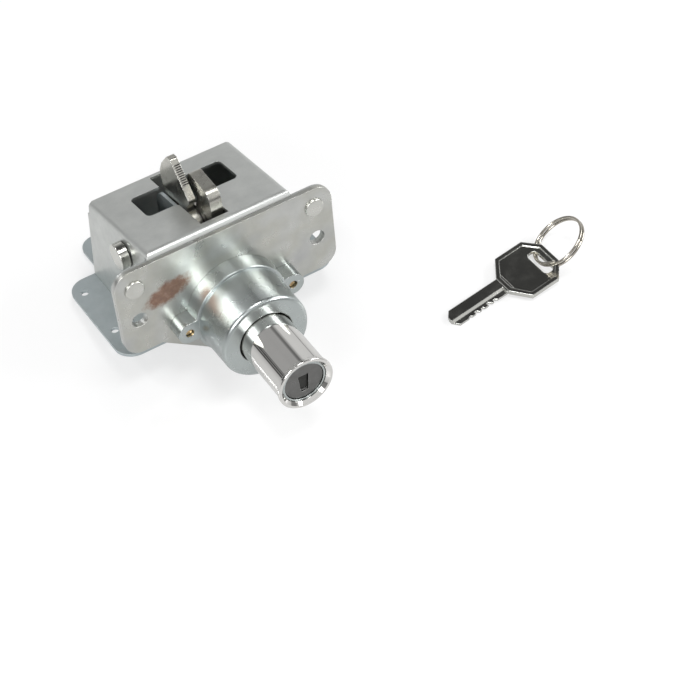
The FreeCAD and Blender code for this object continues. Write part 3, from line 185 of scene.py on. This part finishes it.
def at(across, back, rise):
    """A place in the lock's own axes, in mm, as a place in the frame."""
    return lock_origin + (Vector((1, 0, 0)) * across + back_axis * back + up_axis * rise) / 1000


def own_axes(tree, place):
    """The lock's own axes, in metres, for patterns that follow its sheets."""
    return add(tree, "ShaderNodeMapping", {
        "Vector": (place, "Object"), "Location": lock_origin, "Rotation": (tilt, 0, 0)},
        vector_type="TEXTURE")


# Case: pressed and folded steel sheet, barrel plated with zinc. It is satin, cloudy in tone, and its cut
# edges are rubbed bright. The rolling grain is drawn coarser than the real one, so that it shows, and
# narrow gaps are darkened with painted shade.
EDGE_MM = 0.25
CLOUD_MM = 9.0
ROLLING_MM = 0.9
GRAIN_DEPTH_MM = 0.02
SHADE_GAP_MM = 1.2
RUBBED_EDGE = "#f0f1ee"
GAP_SHADE = "#34312c"


def metal_finish(name, bright, dull, smooth, rough, cloud_mm=CLOUD_MM, grain_mm=ROLLING_MM, grain=0.18,
                 stretch=(1, 1, 1), edge_mm=EDGE_MM, worn=0.35, mirror=1.0, shade_gap_mm=SHADE_GAP_MM):
    """A plated or polished metal: its material, node tree, and the nodes that later finishes add to."""
    made = bpy.data.materials.new(name)
    made.use_nodes = True
    tree = made.node_tree
    tree.nodes.clear()
    place = add(tree, "ShaderNodeTexCoord")
    axes = own_axes(tree, place)
    turned = add(tree, "ShaderNodeMapping", {"Vector": (axes, 0), "Scale": stretch})
    clouds = add(tree, "ShaderNodeTexNoise", {
        "Vector": (axes, 0), "Scale": 1000 / cloud_mm, "Detail": 5, "Roughness": 0.62})
    grains = add(tree, "ShaderNodeTexNoise", {"Vector": (turned, 0), "Scale": 1000 / grain_mm, "Detail": 3})
    tone = add(tree, "ShaderNodeMix", {0: (clouds, "Fac"), 6: linear(dull), 7: linear(bright)},
               data_type="RGBA")
    soft_edge = add(tree, "ShaderNodeBevel", {"Radius": edge_mm / 1000}, samples=6)
    true_face = add(tree, "ShaderNodeNewGeometry")
    agreement = add(tree, "ShaderNodeVectorMath", {0: (soft_edge, 0), 1: (true_face, "Normal")},
                    operation="DOT_PRODUCT")
    rubbed = add(tree, "ShaderNodeMapRange", {0: (agreement, "Value"), 1: 1.0, 2: 0.9, 3: 0.0, 4: worn})
    bared = add(tree, "ShaderNodeMix", {0: (rubbed, 0), 6: (tone, 2), 7: linear(RUBBED_EDGE)},
                data_type="RGBA")
    # Painted shade: ambient occlusion darkens the colour towards a dark grey in narrow gaps and crevices.
    openness = add(tree, "ShaderNodeAmbientOcclusion", {"Distance": shade_gap_mm / 1000}, samples=8)
    painted_shade = add(tree, "ShaderNodeMapRange", {0: (openness, "AO"), 1: 0.6, 2: 0.3, 3: 0.0, 4: 0.75})
    colour = add(tree, "ShaderNodeMix", {0: (painted_shade, 0), 6: (bared, 2), 7: linear(GAP_SHADE)}, data_type="RGBA")
    sheen = add(tree, "ShaderNodeMapRange", {0: (clouds, "Fac"), 1: 0.3, 2: 0.7, 3: rough, 4: smooth})
    bump = add(tree, "ShaderNodeBump", {
        "Height": (grains, "Fac"), "Distance": GRAIN_DEPTH_MM / 1000, "Strength": grain,
        "Normal": (soft_edge, 0)})
    metal = add(tree, "ShaderNodeBsdfPrincipled", {
        "Base Color": (colour, 2), "Metallic": mirror, "Roughness": (sheen, 0), "Normal": (bump, 0)})
    add(tree, "ShaderNodeOutputMaterial", {"Surface": (metal, 0)})
    return {"material": made, "tree": tree, "axes": axes, "colour": colour, "sheen": sheen,
            "bump": bump, "metal": metal}


def dress(finish, *names):
    """Give CAD sub-parts their finish."""
    for name in names:
        nodes[name].data.materials.clear()
        nodes[name].data.materials.append(finish["material"])


sheet = metal_finish("zinc_plated_sheet", "#d6d8d5", "#b9bcba", 0.3, 0.43, stretch=(0.06, 1, 1),
                     worn=0.15, mirror=0.85)
dress(sheet, "case")

# Base plate, bracket and slide: the same sheet, pressed flat or bent, with a bluer, darker and duller
# plating than the case.
dull_sheet = metal_finish("dull_zinc_plated_sheet", "#c2cacc", "#a0aaac", 0.34, 0.5, stretch=(0.06, 1, 1),
                          mirror=0.7)
dress(dull_sheet, "base_plate", "claw_bracket", "release_slide")

# Front plate: the same sheet, blanked flat, without grain. It has a brown stain left of the housing, where
# the plating has gone, and the faintest straw and violet tint of the chromate film. The stain's sizes and
# its place on the plate are in mm.
FILM_MM = 22
RAGGED_MM = 3.2
STAIN_LONG = 13.0
STAIN_HIGH = 6.2
STAIN_DEEP = 50
STAIN_ACROSS = -29.5
STAIN_RISE = 20.8
STAIN_TURN = -0.30
plate = metal_finish("zinc_plated_front", "#d4d5d2", "#b7b8b5", 0.24, 0.38, edge_mm=0.5, grain=0.0)
tree = plate["tree"]
film = add(tree, "ShaderNodeTexNoise", {"Vector": (plate["axes"], 0), "Scale": 1000 / FILM_MM, "Detail": 2})
film_tint = add(tree, "ShaderNodeValToRGB", {"Fac": (film, "Fac")}, stops=(
    (0.35, "#ffffff"), (0.72, "#f4f4f6"), (0.5, "#faf9f4"), (0.6, "#fafaf8")))
tinted = add(tree, "ShaderNodeMix", {0: 1.0, 6: (plate["colour"], 2), 7: (film_tint, "Color")},
             data_type="RGBA", blend_type="MULTIPLY")
stain_place = add(tree, "ShaderNodeMapping", {
    "Vector": (plate["axes"], 0), "Location": (STAIN_ACROSS / 1000, 0, STAIN_RISE / 1000),
    "Rotation": (0, STAIN_TURN, 0), "Scale": (STAIN_LONG / 1000, STAIN_DEEP / 1000, STAIN_HIGH / 1000)},
    vector_type="TEXTURE")
reach = add(tree, "ShaderNodeVectorMath", {0: (stain_place, 0)}, operation="LENGTH")
ragged = add(tree, "ShaderNodeTexNoise", {
    "Vector": (plate["axes"], 0), "Scale": 1000 / RAGGED_MM, "Detail": 6, "Roughness": 0.7})
edge_of_stain = add(tree, "ShaderNodeMath", {0: (ragged, "Fac"), 1: 1.0, 2: (reach, "Value")},
                    operation="MULTIPLY_ADD")
stain = add(tree, "ShaderNodeMapRange", {0: (edge_of_stain, 0), 1: 1.5, 2: 1.15, 3: 0.0, 4: 0.8})
rust = add(tree, "ShaderNodeValToRGB", {"Fac": (ragged, "Fac")}, stops=(
    (0.3, "#7d5443"), (0.7, "#b08c78"), (0.5, "#93674f")))
stained = add(tree, "ShaderNodeMix", {0: (stain, 0), 6: (tinted, 2), 7: (rust, "Color")}, data_type="RGBA")
tree.links.new(stained.outputs[2], plate["metal"].inputs["Base Color"])
dulled = add(tree, "ShaderNodeMath", {0: (stain, 0), 1: 0.2, 2: (plate["sheen"], 0)},
             operation="MULTIPLY_ADD")
tree.links.new(dulled.outputs[0], plate["metal"].inputs["Roughness"])
dress(plate, "front_plate")

# Rivets, clip, spacers, washer and cam: cold headed or pressed steel, zinc plated; smooth, and a little
# brighter than the sheet. The pivot pin is turned from bar, so that it mirrors more.
headed = metal_finish("zinc_plated_rivet_steel", "#dadad5", "#c6c6c0", 0.26, 0.34, cloud_mm=8, grain=0.1,
                      worn=0.2)
dress(headed, "ear_rivets", "base_rivets", "bracket_rivets", "lever_pin", "pin_clip", "pin_spacers",
      "claw_washer", "lock_cam")
turned_pin = metal_finish("turned_pin_steel", "#e2e2dc", "#cfcfc8", 0.1, 0.2, cloud_mm=6, worn=0.2)
dress(turned_pin, "pivot_pin")

# Claws and lever: blanked from thick steel plate and plated. Their faces are smooth, and their edges show
# the press tool's burnished and torn bands as fine lines across the plate's thickness.
TORN_MM = 1.1
TORN_DEPTH_MM = 0.06
# The claws take painted shade over a wider gap, so that they darken where they stand close to each other.
claw = metal_finish("zinc_plated_claw_steel", "#d2d1c9", "#b3b1a9", 0.2, 0.34, cloud_mm=9, grain=0.12,
                    worn=0.5, shade_gap_mm=5.0)
tree = claw["tree"]
torn_place = add(tree, "ShaderNodeMapping", {"Vector": (claw["axes"], 0), "Scale": (0.35, 1, 1)})
torn = add(tree, "ShaderNodeTexNoise", {
    "Vector": (torn_place, 0), "Scale": 1000 / TORN_MM, "Detail": 6, "Roughness": 0.75})
face = add(tree, "ShaderNodeNewGeometry")
parts = add(tree, "ShaderNodeSeparateXYZ", {"Vector": (face, "Normal")})
sideways = add(tree, "ShaderNodeMath", {0: (parts, "X")}, operation="ABSOLUTE")
on_edge = add(tree, "ShaderNodeMapRange", {0: (sideways, 0), 1: 0.7, 2: 0.4, 3: 0.0, 4: 1.0})
depth = add(tree, "ShaderNodeMath", {0: (on_edge, 0), 1: (torn, "Fac")}, operation="MULTIPLY")
tearing = add(tree, "ShaderNodeBump", {
    "Height": (depth, 0), "Distance": TORN_DEPTH_MM / 1000, "Strength": 0.35, "Normal": (claw["bump"], 0)})
tree.links.new(tearing.outputs[0], claw["metal"].inputs["Normal"])
dark_bands = add(tree, "ShaderNodeMapRange", {0: (depth, 0), 1: 0.5, 2: 0.68, 3: 0.0, 4: 0.4})
banded = add(tree, "ShaderNodeMix", {0: (dark_bands, 0), 6: (claw["colour"], 2), 7: linear("#5d5b58")},
             data_type="RGBA")
tree.links.new(banded.outputs[2], claw["metal"].inputs["Base Color"])
dress(claw, "front_claw", "rear_claw", "release_lever")

# Springs, the button's snap ring and its push rod: drawn steel wire and rod, oiled and not plated, so that
# they are a darker grey than the sheet.
wire = metal_finish("oiled_spring_wire", "#b2b4b2", "#8b8d8c", 0.2, 0.32, cloud_mm=3, worn=0.1)
dress(wire, "rear_claw_spring", "front_claw_spring", "return_spring", "button_clip", "push_rod")

# Housing and lock cylinder: die-cast zinc, tumbled and plated. Satin, with a few small raised specks left
# by the casting, which are rubbed bright.
SPECK_SPACING_MM = 9.0
SPECK_RISE_MM = 0.08
cast = metal_finish("die_cast_zinc", "#c6cccb", "#a9b0af", 0.24, 0.34, cloud_mm=14, grain_mm=0.8,
                    grain=0.15, edge_mm=0.4)
tree = cast["tree"]
specks = add(tree, "ShaderNodeTexVoronoi", {
    "Vector": (cast["axes"], 0), "Scale": 1000 / SPECK_SPACING_MM, "Randomness": 1.0})
speck_rise = add(tree, "ShaderNodeMapRange", {0: (specks, "Distance"), 1: 0.03, 2: 0.055, 3: 1.0, 4: 0.0})
raised = add(tree, "ShaderNodeBump", {
    "Height": (speck_rise, 0), "Distance": SPECK_RISE_MM / 1000, "Strength": 0.5,
    "Normal": (cast["bump"], 0)})
tree.links.new(raised.outputs[0], cast["metal"].inputs["Normal"])
rubbed_specks = add(tree, "ShaderNodeMix", {
    0: (speck_rise, 0), 6: (cast["colour"], 2), 7: linear("#f6f6f4")}, data_type="RGBA")
tree.links.new(rubbed_specks.outputs[2], cast["metal"].inputs["Base Color"])
dress(cast, "button_housing", "lock_cylinder")

# Housing screws: brass, their ends filed flat in the lugs. The wafers and the cam's screw are brass too,
# stamped and turned.
brass = metal_finish("turned_brass", "#e3c79c", "#bf9c6c", 0.22, 0.36, cloud_mm=2, worn=0.2)
dress(brass, "housing_screws", "wafers", "cam_screw")

# Push button: drawn brass sleeve, polished and chromed, so that it mirrors the room. A few hair scratches
# run along it from sliding in the housing.
chrome = metal_finish("polished_chrome", "#e4e3e0", "#d9d8d5", 0.03, 0.07, cloud_mm=14, grain_mm=1.2,
                      grain=0.1, stretch=(1, 0.05, 1), edge_mm=0.2, worn=0.1)
dress(chrome, "push_button")

# Plug: turned brass, nickel plated; its face is brushed and looks dark grey. The shutter over the keyway
# is a leaf of blackened spring steel on a steel pin.
face_metal = metal_finish("brushed_nickel_face", "#7e7e7d", "#686866", 0.26, 0.4, cloud_mm=3, grain_mm=0.3,
                          grain=0.5, stretch=(0.1, 1, 1), edge_mm=0.2, worn=0.6)
dress(face_metal, "lock_plug")
leaf = metal_finish("blackened_shutter_steel", "#4c4c4a", "#343433", 0.3, 0.45, cloud_mm=2, edge_mm=0.1)
dress(leaf, "key_shutter", "shutter_pin")

# Key: a brass blank, nickel plated and polished, its edges rounded. Split ring: nickel-plated spring wire,
# wound twice.
nickel = metal_finish("polished_nickel", "#d6d6d1", "#bdbdb7", 0.06, 0.2, cloud_mm=7, grain_mm=1.5,
                      grain=0.2, edge_mm=0.45, worn=0.6)
dress(nickel, "key")
ring_wire = metal_finish("nickel_plated_wire", "#cdc8be", "#aaa59b", 0.1, 0.2, cloud_mm=5, worn=0.1)
dress(ring_wire, "split_ring")

# Ridges on the rear claw's ramp: claw steel, one with the claw, rolled across the upper part of its ramp.
# They are low three-sided roofs, side by side, coloured darker than the claw as painted shade, and leave
# the ramp's left border smooth. The ramp's ends are back and up in the lock's own axes; all sizes are in
# mm.
RAMP_FOOT = Vector((21.2, 44.8))
RAMP_HEAD = Vector((33.4, 58.2))
RIDGE_LEFT = -4.3
RIDGE_RIGHT = -1.6
RIDGE_HIGH = 0.36
RIDGE_WIDE = 0.7
RIDGE_SUNK = 0.08
RIDGE_PITCH = 1.0
RIDGE_EDGE = 0.04
RIDGES = 10
FIRST_RIDGE = 6.5
slope = (RAMP_HEAD - RAMP_FOOT).normalized()
first_ridge = RAMP_FOOT + slope * FIRST_RIDGE
slope_in_frame = (back_axis * slope.x + up_axis * slope.y).normalized()
off_ramp = Vector((1, 0, 0)).cross(slope_in_frame)
lean = math.atan2(off_ramp.z, off_ramp.y)
bpy.ops.mesh.primitive_cylinder_add(vertices=3, radius=RIDGE_HIGH / 1500,
                                    depth=(RIDGE_RIGHT - RIDGE_LEFT) / 1000)
ramp_ridges = bpy.context.object
ramp_ridges.name = "ramp_ridges"
widen = Matrix.Diagonal((RIDGE_WIDE / (RIDGE_HIGH * math.sqrt(4 / 3)), 1, 1, 1))
middle = at((RIDGE_LEFT + RIDGE_RIGHT) / 2, first_ridge.x, first_ridge.y)
middle += off_ramp * (RIDGE_HIGH / 3 - RIDGE_SUNK) / 1000
ramp_ridges.matrix_world = (Matrix.Translation(middle) @ Matrix.Rotation(lean, 4, "X")
                            @ Matrix.Rotation(math.pi / 2, 4, "Y") @ widen)
bpy.ops.object.transform_apply(location=True, rotation=True, scale=True)
bpy.ops.object.mode_set(mode="EDIT")
bpy.ops.mesh.select_all(action="SELECT")
bpy.ops.mesh.bevel(offset=RIDGE_EDGE / 1000, segments=2, affect="EDGES")
bpy.ops.object.mode_set(mode="OBJECT")
row_of_ridges = ramp_ridges.modifiers.new("row", "ARRAY")
row_of_ridges.count = RIDGES
row_of_ridges.use_relative_offset = False
row_of_ridges.use_constant_offset = True
row_of_ridges.constant_offset_displace = slope_in_frame * RIDGE_PITCH / 1000
bpy.ops.object.modifier_apply(modifier="row")
# Painted shade: the ridges' colour is a darker copy of the claw steel, so that they read as dark lines.
shaded_ridge_steel = metal_finish("rolled_ridge_steel_painted_shade", "#8f8e8c", "#6c6b6a", 0.2, 0.3, cloud_mm=3, edge_mm=0.03)
ramp_ridges.data.materials.append(shaded_ridge_steel["material"])
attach(ramp_ridges, "rear_claw_body")
bpy.ops.object.select_all(action="DESELECT")

# Return spring: a coil of oiled spring wire behind the button, cut square at both ends. It stands for the
# CAD coil. Sizes are in mm.
COIL_RADIUS = 8.6
COIL_WIRE = 1.2
COIL_TURNS = 3
COIL_FRONT = -12.9
COIL_SEAT = -2.1
WIRE_SIDES = 16
TURN_STEPS = 40
coil_long = COIL_SEAT - COIL_FRONT
bpy.ops.mesh.primitive_circle_add(vertices=WIRE_SIDES, radius=COIL_WIRE / 2000,
                                  location=(COIL_RADIUS / 1000, 0, 0), rotation=(math.pi / 2, 0, 0))
return_coil = bpy.context.object
return_coil.name = "return_coil"
bpy.ops.object.transform_apply(location=True, rotation=True, scale=True)
winding = return_coil.modifiers.new("winding", "SCREW")
winding.steps = TURN_STEPS
winding.render_steps = TURN_STEPS
winding.iterations = COIL_TURNS
winding.screw_offset = (coil_long - COIL_WIRE) / COIL_TURNS / 1000
bpy.ops.object.modifier_apply(modifier="winding")
bpy.ops.object.mode_set(mode="EDIT")
bpy.ops.mesh.select_all(action="SELECT")
bpy.ops.mesh.remove_doubles(threshold=0.000001)
bpy.ops.mesh.fill_holes(sides=0)
bpy.ops.mesh.select_all(action="SELECT")
bpy.ops.mesh.normals_make_consistent(inside=False)
bpy.ops.object.mode_set(mode="OBJECT")
return_coil.matrix_world = (Matrix.Translation(at(0, COIL_FRONT + COIL_WIRE / 2, 0))
                            @ back_axis.to_track_quat("Z", "Y").to_matrix().to_4x4())
bpy.ops.object.transform_apply(location=True, rotation=True, scale=True)
bpy.ops.object.shade_smooth_by_angle(angle=0.8)
return_coil.data.materials.append(wire["material"])
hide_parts("return_spring")
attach(return_coil, "lock")
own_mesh(return_coil)
bpy.ops.object.select_all(action="DESELECT")
